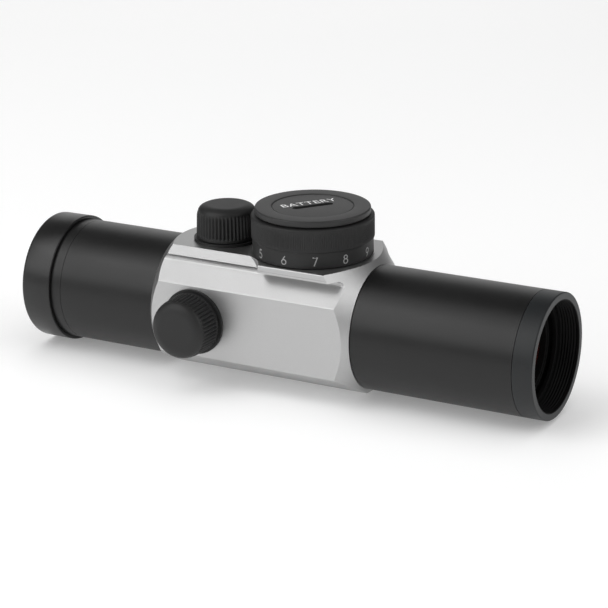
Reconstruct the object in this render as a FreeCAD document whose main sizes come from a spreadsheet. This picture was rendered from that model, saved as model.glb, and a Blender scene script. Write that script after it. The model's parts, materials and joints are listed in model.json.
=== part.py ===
"""Finder scope: a 30 mm tube reflex sight with a numbered brightness dial and two capped turrets.

Millimetres, +Z up. The origin is the centre of the objective rim, on the optical axis, and +X points
along that axis to the sky. Places along the tube are distances behind the rim.
"""
import FreeCAD, Part
import math
import os

import Sketcher
from FreeCAD import Placement, Rotation, Vector

SIZES = {
    # lengths along the tube, from the front to the back
    "objective_length": 4.95,
    "front_length": 41.13,
    "dial_margin": 2.52,
    "turret_gap": 0.95,
    "housing_end": 4.66,
    "rear_length": 26.93,
    "ocular_length": 9.06,
    "cap_engagement": 6.17,
    # tubes and their threaded joints
    "tube_radius": 15.0,
    "tube_wall": 1.8,
    "spigot_step": 1.0,
    "spigot_wall": 1.4,
    "spigot_length": 6.6,
    "ocular_spigot": 6.5,
    "thread_gap": 0.02,
    "slip_gap": 0.05,
    "seam_gap": 0.1,
    "front_line": 0.25,
    "rim_chamfer": 0.25,
    "counterbore_slack": 0.2,
    # objective ring
    "filter_wall": 1.9,
    "filter_depth": 5.2,
    "shield_reach": 1.2,
    "shield_wall": 1.0,
    "gimbal_wall": 1.05,
    # optical carrier
    "carrier_setback": 0.7,
    "pivot_setback": 4.6,
    "pivot_to_head_end": 3.0,
    "pivot_to_spigot_end": 2.5,
    "pin_radius": 0.6,
    "pin_fit": 0.03,
    "pin_engagement": 1.4,
    "gimbal_width": 3.8,
    "gimbal_thickness": 0.95,
    "gimbal_swing": 0.25,
    "carrier_swing": 0.35,
    "carrier_cone": 1.5,
    "carrier_wall": 0.8,
    "carrier_shoulder": 1.0,
    "carrier_overhang": 13.74,
    "pad_rise": 0.25,
    "pad_width": 5.0,
    "pad_root": 0.3,
    "lens_seat_wall": 0.8,
    "lens_seat_depth": 3.8,
    "lens_thickness": 3.0,
    "lens_front_curve": 60.0,
    "lens_rear_curve": 95.0,
    "lens_rear_hollow": 0.55,
    "lens_ring_width": 0.9,
    "emitter_inset": 1.8,
    "emitter_depth": 4.0,
    "emitter_width": 4.4,
    "led_radius": 0.75,
    "led_length": 0.9,
    "strip_thickness": 0.2,
    "strip_width": 2.4,
    # ocular end
    "window_wall": 2.1,
    "window_thickness": 2.4,
    "window_lip": 0.7,
    "window_seal": 0.6,
    "window_setback": 6.3,
    "retainer_width": 1.6,
    "retainer_rim": 1.7,
    "cap_land": 0.3,
    "rear_cap_wall": 0.87,
    "rear_cap_draft": 0.08,
    "rear_cap_floor": 1.93,
    "rear_cap_space": 0.1,
    # housing section
    "side_wall": 1.46,
    "side_top": 8.78,
    "side_low": 8.89,
    "bottom_wall": 1.1,
    "bottom_half": 3.3,
    "top_wall": 1.3,
    "ledge_reach": 0.455,
    "ledge_height": 1.9,
    "ledge_line": 0.5,
    "ledge_line_width": 0.12,
    "lower_facet_offset": 10.24,
    "upper_facet_offset": 11.3,
    "undercut_fillet": 0.85,
    "edge_fillet": 0.4,
    "notch_tool": 8.9,
    "notch_setback": 0.46,
    "notch_tool_reach": 1.82,
    "front_cone_step": 0.04,
    "front_cone_slope": 1.146,
    "rear_cone_step": 0.755,
    # brightness dial
    "base_inset": 0.3,
    "base_thickness": 1.6,
    "base_screw_radius": 0.8,
    "base_screw_depth": 2.4,
    "base_screw_head": 0.7,
    "base_screw_head_ratio": 1.8,
    "base_screw_circle": 9.0,
    "post_radius": 3.0,
    "post_end": 0.55,
    "post_bore": 1.1,
    "clip_groove": 0.4,
    "clip_reach": 1.1,
    "board_thickness": 0.7,
    "board_inset": 0.7,
    "lead_hole_radius": 1.2,
    "lead_hole_offset": 6.0,
    "lead_radius": 0.35,
    "lead_end": 0.9,
    "dial_gap": 0.2,
    "dial_band_height": 3.8,
    "dial_grip_step": 0.26,
    "dial_grip_height": 5.6,
    "dial_chamfer": 0.35,
    "dial_wall": 1.59,
    "dial_hollow": 2.7,
    "dial_web": 1.0,
    "dial_pocket_wall": 2.29,
    "holder_wall": 2.2,
    "dial_positions": 12,
    "detent_radius": 0.5,
    "detent_spring_length": 2.1,
    "wiper_inner": 6.6,
    "wiper_width": 2.6,
    "contact_inner": 5.0,
    "contact_width": 4.0,
    "contact_height": 0.68,
    "cell_radius": 10.0,
    "cell_height": 3.2,
    "cell_edge": 0.35,
    "cell_step": 1.2,
    "cell_step_height": 0.2,
    "cell_fit": 0.1,
    "battery_cap_inset": 0.89,
    "battery_cap_gap": 0.4,
    "battery_cap_height": 1.48,
    "battery_cap_wall": 2.1,
    "battery_cap_roof": 0.7,
    "battery_cap_recess": 4.16,
    "recess_depth": 0.15,
    "coin_slot_length": 10.5,
    "coin_slot_width": 1.8,
    "coin_slot_depth": 1.0,
    "coin_slot_turn": 51.8,
    "cap_spring_inner": 6.0,
    "cap_spring_width": 2.0,
    # turrets: heights are measured from the face they stand on
    "collar_radius": 5.6,
    "flange_rim": 0.62,
    "flange_thickness": 0.65,
    "collar_height": 6.3,
    "collar_depth": 2.9,
    "collar_wall": 0.6,
    "plunger_wall": 1.2,
    "plunger_head_gap": 0.1,
    "plunger_tip_length": 1.0,
    "plunger_web": 1.2,
    "plunger_web_thickness": 0.5,
    "screw_shaft": 1.2,
    "screw_shaft_depth": 3.1,
    "screw_shaft_travel": 1.2,
    "screw_head": 3.0,
    "screw_recess": 0.85,
    "screw_neck_step": 0.6,
    "screw_slot_width": 0.8,
    "screw_slot_depth": 1.0,
    "snap_ring_drop": 0.65,
    "snap_ring_height": 0.4,
    "snap_ring_reach": 0.35,
    "seal_wire": 0.32,
    "seal_lift": 0.7,
    "click_drop": 1.0,
    "click_hole_end": 0.8,
    "click_ball": 0.4,
    "cap_wall": 1.83,
    "cap_draft": 0.18,
    "cap_headroom": 0.15,
    "cap_dome": 2.1,
    "cap_edge": 0.15,
    "cap_fit": 0.08,
    "cap_roof": 1.7,
    "gasket_wall": 0.35,
    "gasket_width": 0.95,
    "gasket_height": 0.6,
    "coil_wire": 0.4,
    "coil_radius": 1.6,
    "coil_turns": 5,
    "coil_fit": 0.2,
}


class Size:
    """A number together with the spreadsheet expression that gives it."""

    def __init__(self, value, text):
        self.value = float(value)
        self.text = text

    def join(self, other, sign, value):
        return Size(value, "(%s %s %s)" % (self.text, sign, other.text))

    def __add__(self, other):
        other = as_size(other)
        return self.join(other, "+", self.value + other.value)

    def __sub__(self, other):
        other = as_size(other)
        return self.join(other, "-", self.value - other.value)

    def __mul__(self, other):
        other = as_size(other)
        return self.join(other, "*", self.value * other.value)

    def __truediv__(self, other):
        other = as_size(other)
        return self.join(other, "/", self.value / other.value)

    def __neg__(self):
        return Size(-self.value, "(0 - %s)" % self.text)

    def __radd__(self, other):
        return as_size(other) + self

    def __rsub__(self, other):
        return as_size(other) - self

    def __rmul__(self, other):
        return as_size(other) * self

    def __rtruediv__(self, other):
        return as_size(other) / self


def as_size(number):
    """A plain number as a size, so that both kinds can be mixed in one formula."""
    if isinstance(number, Size):
        return number
    return Size(number, "%.6g" % number)


class SheetSizes:
    """The sizes by name, each bound to its spreadsheet cell."""

    def __init__(self, document, values):
        sheet = document.addObject("Spreadsheet::Sheet", "Sizes")
        for row, (name, value) in enumerate(values.items(), start=1):
            sheet.set("A%d" % row, name)
            sheet.set("B%d" % row, str(value))
            sheet.setAlias("B%d" % row, name)
            setattr(self, name, Size(value, "Sizes." + name))
        document.recompute()


def derive_places(sizes):
    """Work out every place and radius that follows from the sizes in the sheet."""
    sizes.objective_seam = sizes.objective_length + 0
    sizes.housing_front = sizes.objective_seam + sizes.front_length
    sizes.dial_pocket = sizes.cell_radius + sizes.holder_wall
    sizes.dial_band = sizes.dial_pocket + sizes.dial_pocket_wall
    sizes.dial_grip = sizes.dial_band + sizes.dial_grip_step
    sizes.dial_place = sizes.housing_front + sizes.dial_grip + sizes.dial_margin
    sizes.cap_radius = sizes.collar_radius + sizes.cap_wall
    sizes.flange_radius = sizes.cap_radius + sizes.flange_rim
    sizes.turret_place = (sizes.dial_place + sizes.dial_grip + sizes.flange_radius
                          + sizes.turret_gap)
    sizes.notch_tool_place = sizes.dial_place + sizes.dial_band + sizes.notch_setback
    sizes.housing_rear = sizes.turret_place + sizes.flange_radius + sizes.housing_end
    sizes.housing_length = sizes.housing_rear - sizes.housing_front
    sizes.ocular_seam = sizes.housing_rear + sizes.rear_length
    sizes.ocular_end = sizes.ocular_seam + sizes.ocular_length
    sizes.ocular_shoulder = sizes.ocular_end - sizes.window_setback
    sizes.cap_mouth = sizes.ocular_end - sizes.cap_engagement
    sizes.cap_floor = sizes.ocular_end + sizes.rear_cap_space
    sizes.cap_back = sizes.cap_floor + sizes.rear_cap_floor
    sizes.shield_end = sizes.filter_depth + sizes.shield_wall
    sizes.carrier_front = sizes.shield_end + sizes.carrier_setback
    sizes.pivot_place = sizes.carrier_front + sizes.pivot_setback
    sizes.lens_seat = sizes.carrier_front + sizes.lens_seat_depth
    sizes.carrier_head_end = sizes.pivot_place + sizes.pivot_to_head_end
    sizes.ring_spigot_end = sizes.pivot_place + sizes.pivot_to_spigot_end
    sizes.carrier_rear = sizes.ocular_seam - sizes.carrier_overhang

    sizes.tube_bore = sizes.tube_radius - sizes.tube_wall
    sizes.spigot_radius = sizes.tube_radius - sizes.spigot_step
    sizes.spigot_bore = sizes.spigot_radius - sizes.spigot_wall
    sizes.filter_bore = sizes.tube_radius - sizes.filter_wall
    sizes.shield_bore = sizes.filter_bore - sizes.shield_reach
    sizes.gimbal_bore = sizes.spigot_radius - sizes.gimbal_wall
    sizes.gimbal_outer = sizes.gimbal_bore - sizes.gimbal_swing
    sizes.gimbal_inner = sizes.gimbal_outer - sizes.gimbal_thickness
    sizes.carrier_head = sizes.gimbal_inner - sizes.carrier_swing
    sizes.lens_bore = sizes.carrier_head - sizes.lens_seat_wall
    sizes.lens_radius = sizes.lens_bore - sizes.slip_gap
    sizes.carrier_bore = sizes.lens_bore - sizes.carrier_shoulder
    sizes.carrier_radius = sizes.carrier_bore + sizes.carrier_wall
    sizes.pad_radius = sizes.carrier_radius + sizes.pad_rise
    sizes.emitter_offset = sizes.carrier_bore - sizes.emitter_inset
    sizes.window_radius = sizes.tube_radius - sizes.window_wall
    sizes.window_bore = sizes.window_radius + sizes.slip_gap
    sizes.ocular_bore = sizes.window_radius - sizes.window_lip
    sizes.land_radius = sizes.tube_radius - sizes.cap_land
    sizes.cap_mouth_radius = sizes.tube_radius + sizes.rear_cap_wall

    sizes.side_half = sizes.tube_radius + sizes.side_wall
    sizes.bottom = sizes.tube_radius + sizes.bottom_wall
    sizes.top = sizes.tube_radius + sizes.top_wall
    sizes.ledge_half = sizes.tube_radius + sizes.ledge_reach
    sizes.ledge_bottom = sizes.top - sizes.ledge_height
    sizes.lower_facet = sizes.tube_radius + sizes.lower_facet_offset
    sizes.upper_facet = sizes.tube_radius + sizes.upper_facet_offset
    sizes.coil_floor = sizes.tube_radius + 0

    sizes.dial_low = sizes.top + sizes.dial_gap
    sizes.dial_step = sizes.dial_low + sizes.dial_band_height
    sizes.dial_top = sizes.dial_step + sizes.dial_grip_height
    sizes.dial_bore = sizes.dial_band - sizes.dial_wall
    sizes.dial_web_low = sizes.dial_low + sizes.dial_hollow
    sizes.dial_web_top = sizes.dial_web_low + sizes.dial_web
    sizes.base_radius = sizes.dial_bore - sizes.base_inset
    sizes.base_top = sizes.top + sizes.base_thickness
    sizes.board_radius = sizes.dial_bore - sizes.board_inset
    sizes.board_top = sizes.base_top + sizes.board_thickness
    sizes.cell_low = sizes.dial_web_top + sizes.contact_height + sizes.thread_gap
    sizes.cell_top = sizes.cell_low + sizes.cell_height
    sizes.battery_cap_low = sizes.dial_top + sizes.battery_cap_gap
    sizes.battery_cap_top = sizes.battery_cap_low + sizes.battery_cap_height
    sizes.battery_cap_radius = sizes.dial_grip - sizes.battery_cap_inset
    sizes.battery_cap_skirt = sizes.dial_pocket - sizes.cell_fit
    sizes.battery_cap_hollow = sizes.battery_cap_skirt - sizes.battery_cap_wall
    sizes.recess_radius = sizes.battery_cap_radius - sizes.battery_cap_recess


doc = FreeCAD.newDocument("FinderScope")
S = SheetSizes(doc, SIZES)
derive_places(S)
SUBPARTS = []

ALONG_TUBE = Rotation(Vector(0, 1, 0), 90)
UPRIGHT = Rotation()
TO_THE_RIGHT = Rotation(Vector(1, 0, 0), 90)
TO_THE_LEFT = Rotation(Vector(1, 0, 0), -90)
DOWNWARD = Rotation(Vector(1, 0, 0), 180)
BIG = 60.0
REACH = 12.0
SLIVER = 0.001
SOCKET_RADIUS = S.collar_radius - S.collar_wall


# ---------------------------------------------------------------- drawing helpers

def bind(thing, **sizes):
    """Set each property of a document object to a size and keep it bound to the sheet."""
    for name, size in sizes.items():
        size = as_size(size)
        setattr(thing, name, size.value)
        thing.setExpression(name, size.text)


def place(thing, rotation=UPRIGHT, x=0, y=0, z=0):
    """Turn a document object and bind its position to the sheet."""
    spot = [as_size(x), as_size(y), as_size(z)]
    thing.Placement = Placement(Vector(*[size.value for size in spot]), rotation)
    for axis, size in zip("xyz", spot):
        thing.setExpression("Placement.Base." + axis, size.text)


def subpart(thing, label):
    """Name a finished piece and put it on the list of what is exported."""
    thing.Label = label
    SUBPARTS.append(thing)
    return thing


def new_body(label):
    return doc.addObject("PartDesign::Body", label)


def origin_part(body, role):
    """One of the body's own origin planes or axes."""
    for feature in body.Origin.OriginFeatures:
        if feature.Role == role:
            return feature
    raise ValueError("no origin feature " + role)


def polygon(body, label, plane, points, lift=0):
    """A closed outline on an origin plane, each corner held at its place by the sheet."""
    sketch = body.newObject("Sketcher::SketchObject", label)
    sketch.AttachmentSupport = [(origin_part(body, plane), "")]
    sketch.MapMode = "FlatFace"
    lift = as_size(lift)
    sketch.AttachmentOffset = Placement(Vector(0, 0, lift.value), Rotation())
    sketch.setExpression("AttachmentOffset.Base.z", lift.text)
    points = [(as_size(x), as_size(y)) for x, y in points]
    spots = [Vector(x.value, y.value, 0) for x, y in points]
    lines = [Part.LineSegment(spot, spots[(index + 1) % len(spots)])
             for index, spot in enumerate(spots)]
    sketch.addGeometry(lines, False)
    count = len(points)
    rules = [Sketcher.Constraint("Coincident", index, 2, (index + 1) % count, 1)
             for index in range(count)]
    bound = []
    for index, (x, y) in enumerate(points):
        for size, kind, axis in ((x, "DistanceX", -2), (y, "DistanceY", -1)):
            if size.value == 0:
                rules.append(Sketcher.Constraint("PointOnObject", index, 1, axis))
            else:
                bound.append((len(rules), size))
                rules.append(Sketcher.Constraint(kind, -1, 1, index, 1, size.value))
    sketch.addConstraint(rules)
    for number, size in bound:
        sketch.setExpression("Constraints[%d]" % number, size.text)
    return sketch


def turn_outline(body, label, outline, kind="PartDesign::Revolution"):
    """Revolve a closed outline of (radius, height) corners about the body's own Z axis."""
    sketch = polygon(body, label + "_outline", "XZ_Plane", outline)
    turned_shape = body.newObject(kind, label + "_turned")
    turned_shape.Profile = sketch
    turned_shape.ReferenceAxis = (origin_part(body, "Z_Axis"), [""])
    turned_shape.Angle = 360
    body.Tip = turned_shape
    sketch.Visibility = False
    return turned_shape


def turned(label, outline, rotation=UPRIGHT, **spot):
    """A turned piece made from one outline."""
    body = new_body(label)
    turn_outline(body, label, outline)
    place(body, rotation, **spot)
    return subpart(body, label)


def feature(body, kind, name, rotation=UPRIGHT, spot=(0, 0, 0), **sizes):
    """A PartDesign primitive added to a body or cut from it."""
    made = body.newObject("PartDesign::" + kind, name)
    bind(made, **sizes)
    place(made, rotation, *spot)
    body.Tip = made
    return made


def around(body, name, original, count):
    """Repeat a feature evenly about the body's own Z axis."""
    pattern = body.newObject("PartDesign::PolarPattern", name)
    pattern.Originals = [original]
    pattern.Axis = (origin_part(body, "Z_Axis"), [""])
    pattern.Angle = 360
    pattern.setExpression("Occurrences", as_size(count).text)
    body.Tip = pattern
    return pattern


def ring(inner, outer, low, high):
    """The outline of a plain ring."""
    return [(inner, low), (outer, low), (outer, high), (inner, high)]


def disc(radius, low, high):
    return ring(0, radius, low, high)


def group(label, pieces, rotation=UPRIGHT, **spot):
    """Separate solids that share one node."""
    compound = doc.addObject("Part::Compound", label)
    compound.Links = pieces
    place(compound, rotation, **spot)
    return subpart(compound, label)


def rod(name, radius, length, rotation=UPRIGHT, spot=(0, 0, 0)):
    cylinder = doc.addObject("Part::Cylinder", name)
    bind(cylinder, Radius=radius, Height=length)
    place(cylinder, rotation, *spot)
    return cylinder


def coil(label, wire, radius, length, turns, rotation=UPRIGHT, **spot):
    """A coil spring that stands on its own XY plane."""
    body = new_body(label)
    sketch = body.newObject("Sketcher::SketchObject", label + "_wire")
    sketch.AttachmentSupport = [(origin_part(body, "XZ_Plane"), "")]
    sketch.MapMode = "FlatFace"
    wire = as_size(wire)
    radius = as_size(radius)
    length = as_size(length)
    middle = radius - wire / 2
    sketch.addGeometry(Part.Circle(Vector(middle.value, wire.value / 2, 0), Vector(0, 0, 1),
                                   wire.value / 2), False)
    sketch.addConstraint([
        Sketcher.Constraint("DistanceX", -1, 1, 0, 3, middle.value),
        Sketcher.Constraint("DistanceY", -1, 1, 0, 3, wire.value / 2),
        Sketcher.Constraint("Radius", 0, wire.value / 2)])
    sketch.setExpression("Constraints[0]", middle.text)
    sketch.setExpression("Constraints[1]", (wire / 2).text)
    sketch.setExpression("Constraints[2]", (wire / 2).text)
    helix = body.newObject("PartDesign::AdditiveHelix", label + "_helix")
    helix.Profile = sketch
    helix.ReferenceAxis = (sketch, ["V_Axis"])
    helix.Mode = 2
    bind(helix, Height=length - wire, Turns=turns)
    body.Tip = helix
    place(body, rotation, **spot)
    return subpart(body, label)


# ---------------------------------------------------------------- tubes and rings

def front_tube():
    counterbore_end = S.ring_spigot_end + S.counterbore_slack
    shoulder = S.housing_front - S.front_line
    spigot = S.spigot_radius - S.thread_gap
    spigot_end = S.housing_front + S.spigot_length
    seam = S.objective_seam + S.seam_gap
    turned("front_tube", [
        (S.spigot_bore, -spigot_end), (spigot, -spigot_end), (spigot, -shoulder),
        (S.tube_radius, -shoulder), (S.tube_radius, -seam), (S.spigot_radius, -seam),
        (S.spigot_radius, -counterbore_end), (S.tube_bore, -counterbore_end),
        (S.tube_bore, -shoulder), (S.spigot_bore, -shoulder)], ALONG_TUBE)


def rear_tube():
    spigot = S.spigot_radius - S.thread_gap
    spigot_end = S.housing_rear - S.spigot_length
    shoulder = S.housing_rear + S.thread_gap
    counterbore_end = S.ocular_seam - S.ocular_spigot - S.counterbore_slack
    turned("rear_tube", [
        (S.spigot_bore, -spigot_end), (spigot, -spigot_end), (spigot, -shoulder),
        (S.tube_radius, -shoulder), (S.tube_radius, -S.ocular_seam),
        (S.spigot_radius, -S.ocular_seam), (S.spigot_radius, -counterbore_end),
        (S.tube_bore, -counterbore_end), (S.tube_bore, -shoulder),
        (S.spigot_bore, -shoulder)], ALONG_TUBE)


def objective_ring():
    body = new_body("objective_ring")
    spigot = S.spigot_radius - S.thread_gap
    turn_outline(body, "objective_ring", [
        (S.filter_bore, 0), (S.tube_radius - S.rim_chamfer, 0), (S.tube_radius, -S.rim_chamfer),
        (S.tube_radius, -S.objective_seam), (spigot, -S.objective_seam),
        (spigot, -S.ring_spigot_end), (S.gimbal_bore, -S.ring_spigot_end),
        (S.gimbal_bore, -S.shield_end), (S.shield_bore, -S.shield_end),
        (S.shield_bore, -S.filter_depth), (S.filter_bore, -S.filter_depth)])
    feature(body, "SubtractiveCylinder", "yaw_pin_hole", Rotation(Vector(0, 1, 0), 90),
            (-S.tube_radius, 0, -S.pivot_place), Radius=S.pin_radius, Height=S.tube_radius * 2)
    place(body, ALONG_TUBE)
    subpart(body, "objective_ring")


def ocular_end():
    spigot = S.spigot_radius - S.thread_gap
    front = S.ocular_seam - S.ocular_spigot
    seam = S.ocular_seam + S.seam_gap
    land_start = S.cap_mouth - S.slip_gap
    turned("ocular_ring", [
        (S.ocular_bore, -front), (spigot, -front), (spigot, -seam), (S.tube_radius, -seam),
        (S.tube_radius, -land_start), (S.land_radius, -land_start),
        (S.land_radius, -(S.ocular_end - S.rim_chamfer)),
        (S.land_radius - S.rim_chamfer, -S.ocular_end), (S.window_bore, -S.ocular_end),
        (S.window_bore, -S.ocular_shoulder), (S.ocular_bore, -S.ocular_shoulder)], ALONG_TUBE)
    window_front = S.ocular_shoulder + S.window_seal
    window_rear = window_front + S.window_thickness
    turned("ocular_seal", ring(S.ocular_bore, S.window_radius, -window_front,
                               -S.ocular_shoulder), ALONG_TUBE)
    turned("ocular_window", disc(S.window_radius, -window_rear, -window_front), ALONG_TUBE)
    turned("ocular_retainer", ring(S.window_radius - S.retainer_rim, S.window_radius,
                                   -(window_rear + S.retainer_width), -window_rear), ALONG_TUBE)


def rear_cap():
    bore = S.land_radius + S.slip_gap
    back_radius = S.cap_mouth_radius - S.rear_cap_draft
    corner = S.rim_chamfer * 2
    turned("rear_cap", [
        (0, -S.cap_back), (back_radius - corner, -S.cap_back),
        (back_radius, -(S.cap_back - corner)),
        (S.cap_mouth_radius, -(S.cap_mouth + S.rim_chamfer)),
        (S.cap_mouth_radius - S.rim_chamfer, -S.cap_mouth),
        (bore + S.rim_chamfer, -S.cap_mouth), (bore, -(S.cap_mouth + S.rim_chamfer)),
        (bore, -S.cap_floor), (0, -S.cap_floor)], ALONG_TUBE)


# ---------------------------------------------------------------- housing

def section_edges(shape, corners):
    """The long edges of the bar that run through the given (y, z) corners."""
    names = []
    for number, edge in enumerate(shape.Edges, start=1):
        first, last = edge.Vertexes[0].Point, edge.Vertexes[-1].Point
        if abs(first.x - last.x) < 1:
            continue
        for y, z in corners:
            if math.hypot(abs(first.y) - y.value, first.z - z.value) < 0.01:
                names.append("Edge%d" % number)
    return names


def round_edges(body, name, radius, corners):
    doc.recompute()
    base = body.Tip
    fillet = body.newObject("PartDesign::Fillet", name)
    fillet.Base = (base, section_edges(base.Shape, corners))
    bind(fillet, Radius=radius)
    body.Tip = fillet


def facet_cutter(side):
    """What the end mill takes off one upper edge, behind the dial: a slope with a round end."""
    low = S.upper_facet - S.tube_radius
    corner = (S.upper_facet - S.ledge_bottom + SLIVER, S.ledge_bottom - SLIVER)
    body = new_body("facet_slope_" + side)
    sign = 1 if side == "left" else -1
    outline = polygon(body, "facet_section_" + side, "YZ_Plane", [
        (corner[0] * sign, corner[1]), ((corner[0] + REACH) * sign, corner[1]),
        ((corner[0] + REACH) * sign, low + REACH),
        ((S.upper_facet - low - REACH) * sign, low + REACH)], -(S.housing_rear + 1))
    pad = body.newObject("PartDesign::Pad", "facet_length_" + side)
    pad.Profile = outline
    bind(pad, Length=S.housing_rear + 1 - S.housing_front)
    body.Tip = pad
    straight = doc.addObject("Part::Box", "facet_straight_" + side)
    bind(straight, Length=S.housing_rear + 2 - S.notch_tool_place, Width=BIG, Height=BIG)
    place(straight, UPRIGHT, -(S.housing_rear + 2), 0 if side == "left" else -BIG, 0)
    round_end = rod("facet_round_" + side, S.notch_tool, BIG, UPRIGHT,
                    (-S.notch_tool_place, (S.side_half + S.notch_tool_reach) * sign, 0))
    path = doc.addObject("Part::Fuse", "facet_path_" + side)
    path.Base = straight
    path.Tool = round_end
    cutter = doc.addObject("Part::Common", "facet_cutter_" + side)
    cutter.Base = body
    cutter.Tool = path
    return cutter


def housing():
    body = new_body("housing_body")
    inner = S.lower_facet - S.ledge_bottom
    line_top = S.ledge_bottom + S.ledge_line + S.ledge_line_width
    right = [
        (S.bottom_half, -S.bottom), (S.side_half, -S.side_low), (S.side_half, S.side_top),
        (inner, S.ledge_bottom), (S.ledge_half, S.ledge_bottom),
        (S.ledge_half, S.ledge_bottom + S.ledge_line),
        (S.ledge_half - S.ledge_line_width, S.ledge_bottom + S.ledge_line),
        (S.ledge_half - S.ledge_line_width, line_top), (S.ledge_half, line_top),
        (S.ledge_half, S.top)]
    left = [(-y, z) for y, z in reversed(right)]
    outline = polygon(body, "housing_section", "YZ_Plane", right + left, -S.housing_rear)
    bar = body.newObject("PartDesign::Pad", "housing_bar")
    bar.Profile = outline
    bind(bar, Length=S.housing_length)
    body.Tip = bar
    round_edges(body, "housing_edges", S.edge_fillet,
                [(S.side_half, S.side_top), (S.side_half, -S.side_low), (S.ledge_half, S.top)])
    round_edges(body, "undercut_corners", S.undercut_fillet, [(inner, S.ledge_bottom)])

    front = S.housing_front
    front_radius = S.tube_radius + S.front_cone_step
    rear_radius = S.tube_radius + S.rear_cone_step
    cuts = [
        ("front_cone", [(front_radius, -front), (front_radius + REACH, -front),
                        (front_radius + REACH, -(front + REACH / S.front_cone_slope))]),
        ("rear_cone", [(rear_radius, -S.housing_rear), (rear_radius + REACH, -S.housing_rear),
                       (rear_radius + REACH, -(S.housing_rear - REACH))]),
    ]
    for name, corners in cuts:
        outline = polygon(body, name, "XY_Plane", [(place_x, radius) for radius, place_x in corners])
        groove = body.newObject("PartDesign::Groove", name + "_cut")
        groove.Profile = outline
        groove.ReferenceAxis = (origin_part(body, "X_Axis"), [""])
        groove.Angle = 360
        body.Tip = groove
    feature(body, "SubtractiveCylinder", "main_bore", ALONG_TUBE, (-S.housing_rear, 0, 0),
            Radius=S.tube_bore, Height=S.housing_length)
    for name, start in (("front_socket", -(S.housing_front + S.spigot_length)),
                        ("rear_socket", -S.housing_rear)):
        feature(body, "SubtractiveCylinder", name, ALONG_TUBE, (start, 0, 0),
                Radius=S.spigot_radius, Height=S.spigot_length)
    sockets = (("elevation", UPRIGHT), ("windage", TO_THE_RIGHT))
    for name, rotation in sockets:
        feature(body, "SubtractiveCylinder", name + "_socket", rotation,
                (-S.turret_place, 0, 0), Radius=SOCKET_RADIUS, Height=S.side_half + 1)
    springs = (("elevation", DOWNWARD), ("windage", TO_THE_LEFT))
    for name, rotation in springs:
        feature(body, "SubtractiveCylinder", name + "_spring_pocket", rotation,
                (-S.turret_place, 0, 0), Radius=S.coil_radius + S.coil_fit, Height=S.coil_floor)
    feature(body, "SubtractiveCylinder", "lead_hole", UPRIGHT,
            (-(S.dial_place + S.lead_hole_offset), 0, 0), Radius=S.lead_hole_radius,
            Height=S.top + 1)
    for number, (x, y) in enumerate(screw_spots(), start=1):
        feature(body, "SubtractiveCylinder", "base_screw_hole_%d" % number, UPRIGHT,
                (x - S.dial_place, y, S.top - S.base_screw_depth - S.seam_gap),
                Radius=S.base_screw_radius, Height=S.base_screw_depth + 1)
    previous = body
    for side in ("left", "right"):
        cut = doc.addObject("Part::Cut", "housing_after_" + side)
        cut.Base = previous
        cut.Tool = facet_cutter(side)
        previous = cut
    place(previous)
    subpart(previous, "housing")


# ---------------------------------------------------------------- optical carrier

def gimbal():
    body = new_body("gimbal_ring")
    half = S.gimbal_width / 2
    turn_outline(body, "gimbal_ring", ring(S.gimbal_inner, S.gimbal_outer,
                                           -(S.pivot_place + half), -(S.pivot_place - half)))
    hole = S.pin_radius + S.pin_fit
    feature(body, "SubtractiveCylinder", "yaw_hole", Rotation(Vector(0, 1, 0), 90),
            (-S.tube_radius, 0, -S.pivot_place), Radius=hole, Height=S.tube_radius * 2)
    feature(body, "SubtractiveCylinder", "pitch_hole", Rotation(Vector(1, 0, 0), -90),
            (0, -S.tube_radius, -S.pivot_place), Radius=hole, Height=S.tube_radius * 2)
    place(body, ALONG_TUBE)
    subpart(body, "gimbal_ring")

    yaw_start = S.gimbal_inner + S.slip_gap
    yaw_length = S.spigot_radius - S.seam_gap - yaw_start
    pitch_start = S.carrier_head - S.pin_engagement
    pitch_length = S.gimbal_outer - S.slip_gap - pitch_start
    group("yaw_pins", [
        rod("yaw_pin_top", S.pin_radius, yaw_length, UPRIGHT, (0, 0, yaw_start)),
        rod("yaw_pin_bottom", S.pin_radius, yaw_length, DOWNWARD, (0, 0, -yaw_start))],
        x=-S.pivot_place)
    group("pitch_pins", [
        rod("pitch_pin_right", S.pin_radius, pitch_length, TO_THE_RIGHT, (0, -pitch_start, 0)),
        rod("pitch_pin_left", S.pin_radius, pitch_length, TO_THE_LEFT, (0, pitch_start, 0))],
        x=-S.pivot_place)


def inner_tube():
    body = new_body("inner_tube")
    cone_end = S.carrier_head_end + S.carrier_cone
    turn_outline(body, "inner_tube", [
        (S.lens_bore, -S.carrier_front), (S.carrier_head, -S.carrier_front),
        (S.carrier_head, -S.carrier_head_end), (S.carrier_radius, -cone_end),
        (S.carrier_radius, -S.carrier_rear), (S.carrier_bore, -S.carrier_rear),
        (S.carrier_bore, -S.lens_seat), (S.lens_bore, -S.lens_seat)])
    half = S.pad_width / 2
    floor = S.carrier_bore + S.pad_root
    low = -(S.turret_place + half)
    corners = ((floor, -half), (half, floor), (-floor, half), (-half, -floor))
    for number, (x, y) in enumerate(corners):
        feature(body, "AdditiveBox", "pad_%d" % number, Rotation(Vector(0, 0, 1), 90 * number),
                (x, y, low), Length=S.pad_radius - floor, Width=S.pad_width, Height=S.pad_width)
    feature(body, "SubtractiveCylinder", "pitch_pin_hole", Rotation(Vector(1, 0, 0), -90),
            (0, -S.tube_radius, -S.pivot_place), Radius=S.pin_radius, Height=S.tube_radius * 2)
    place(body, ALONG_TUBE)
    subpart(body, "inner_tube")


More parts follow.
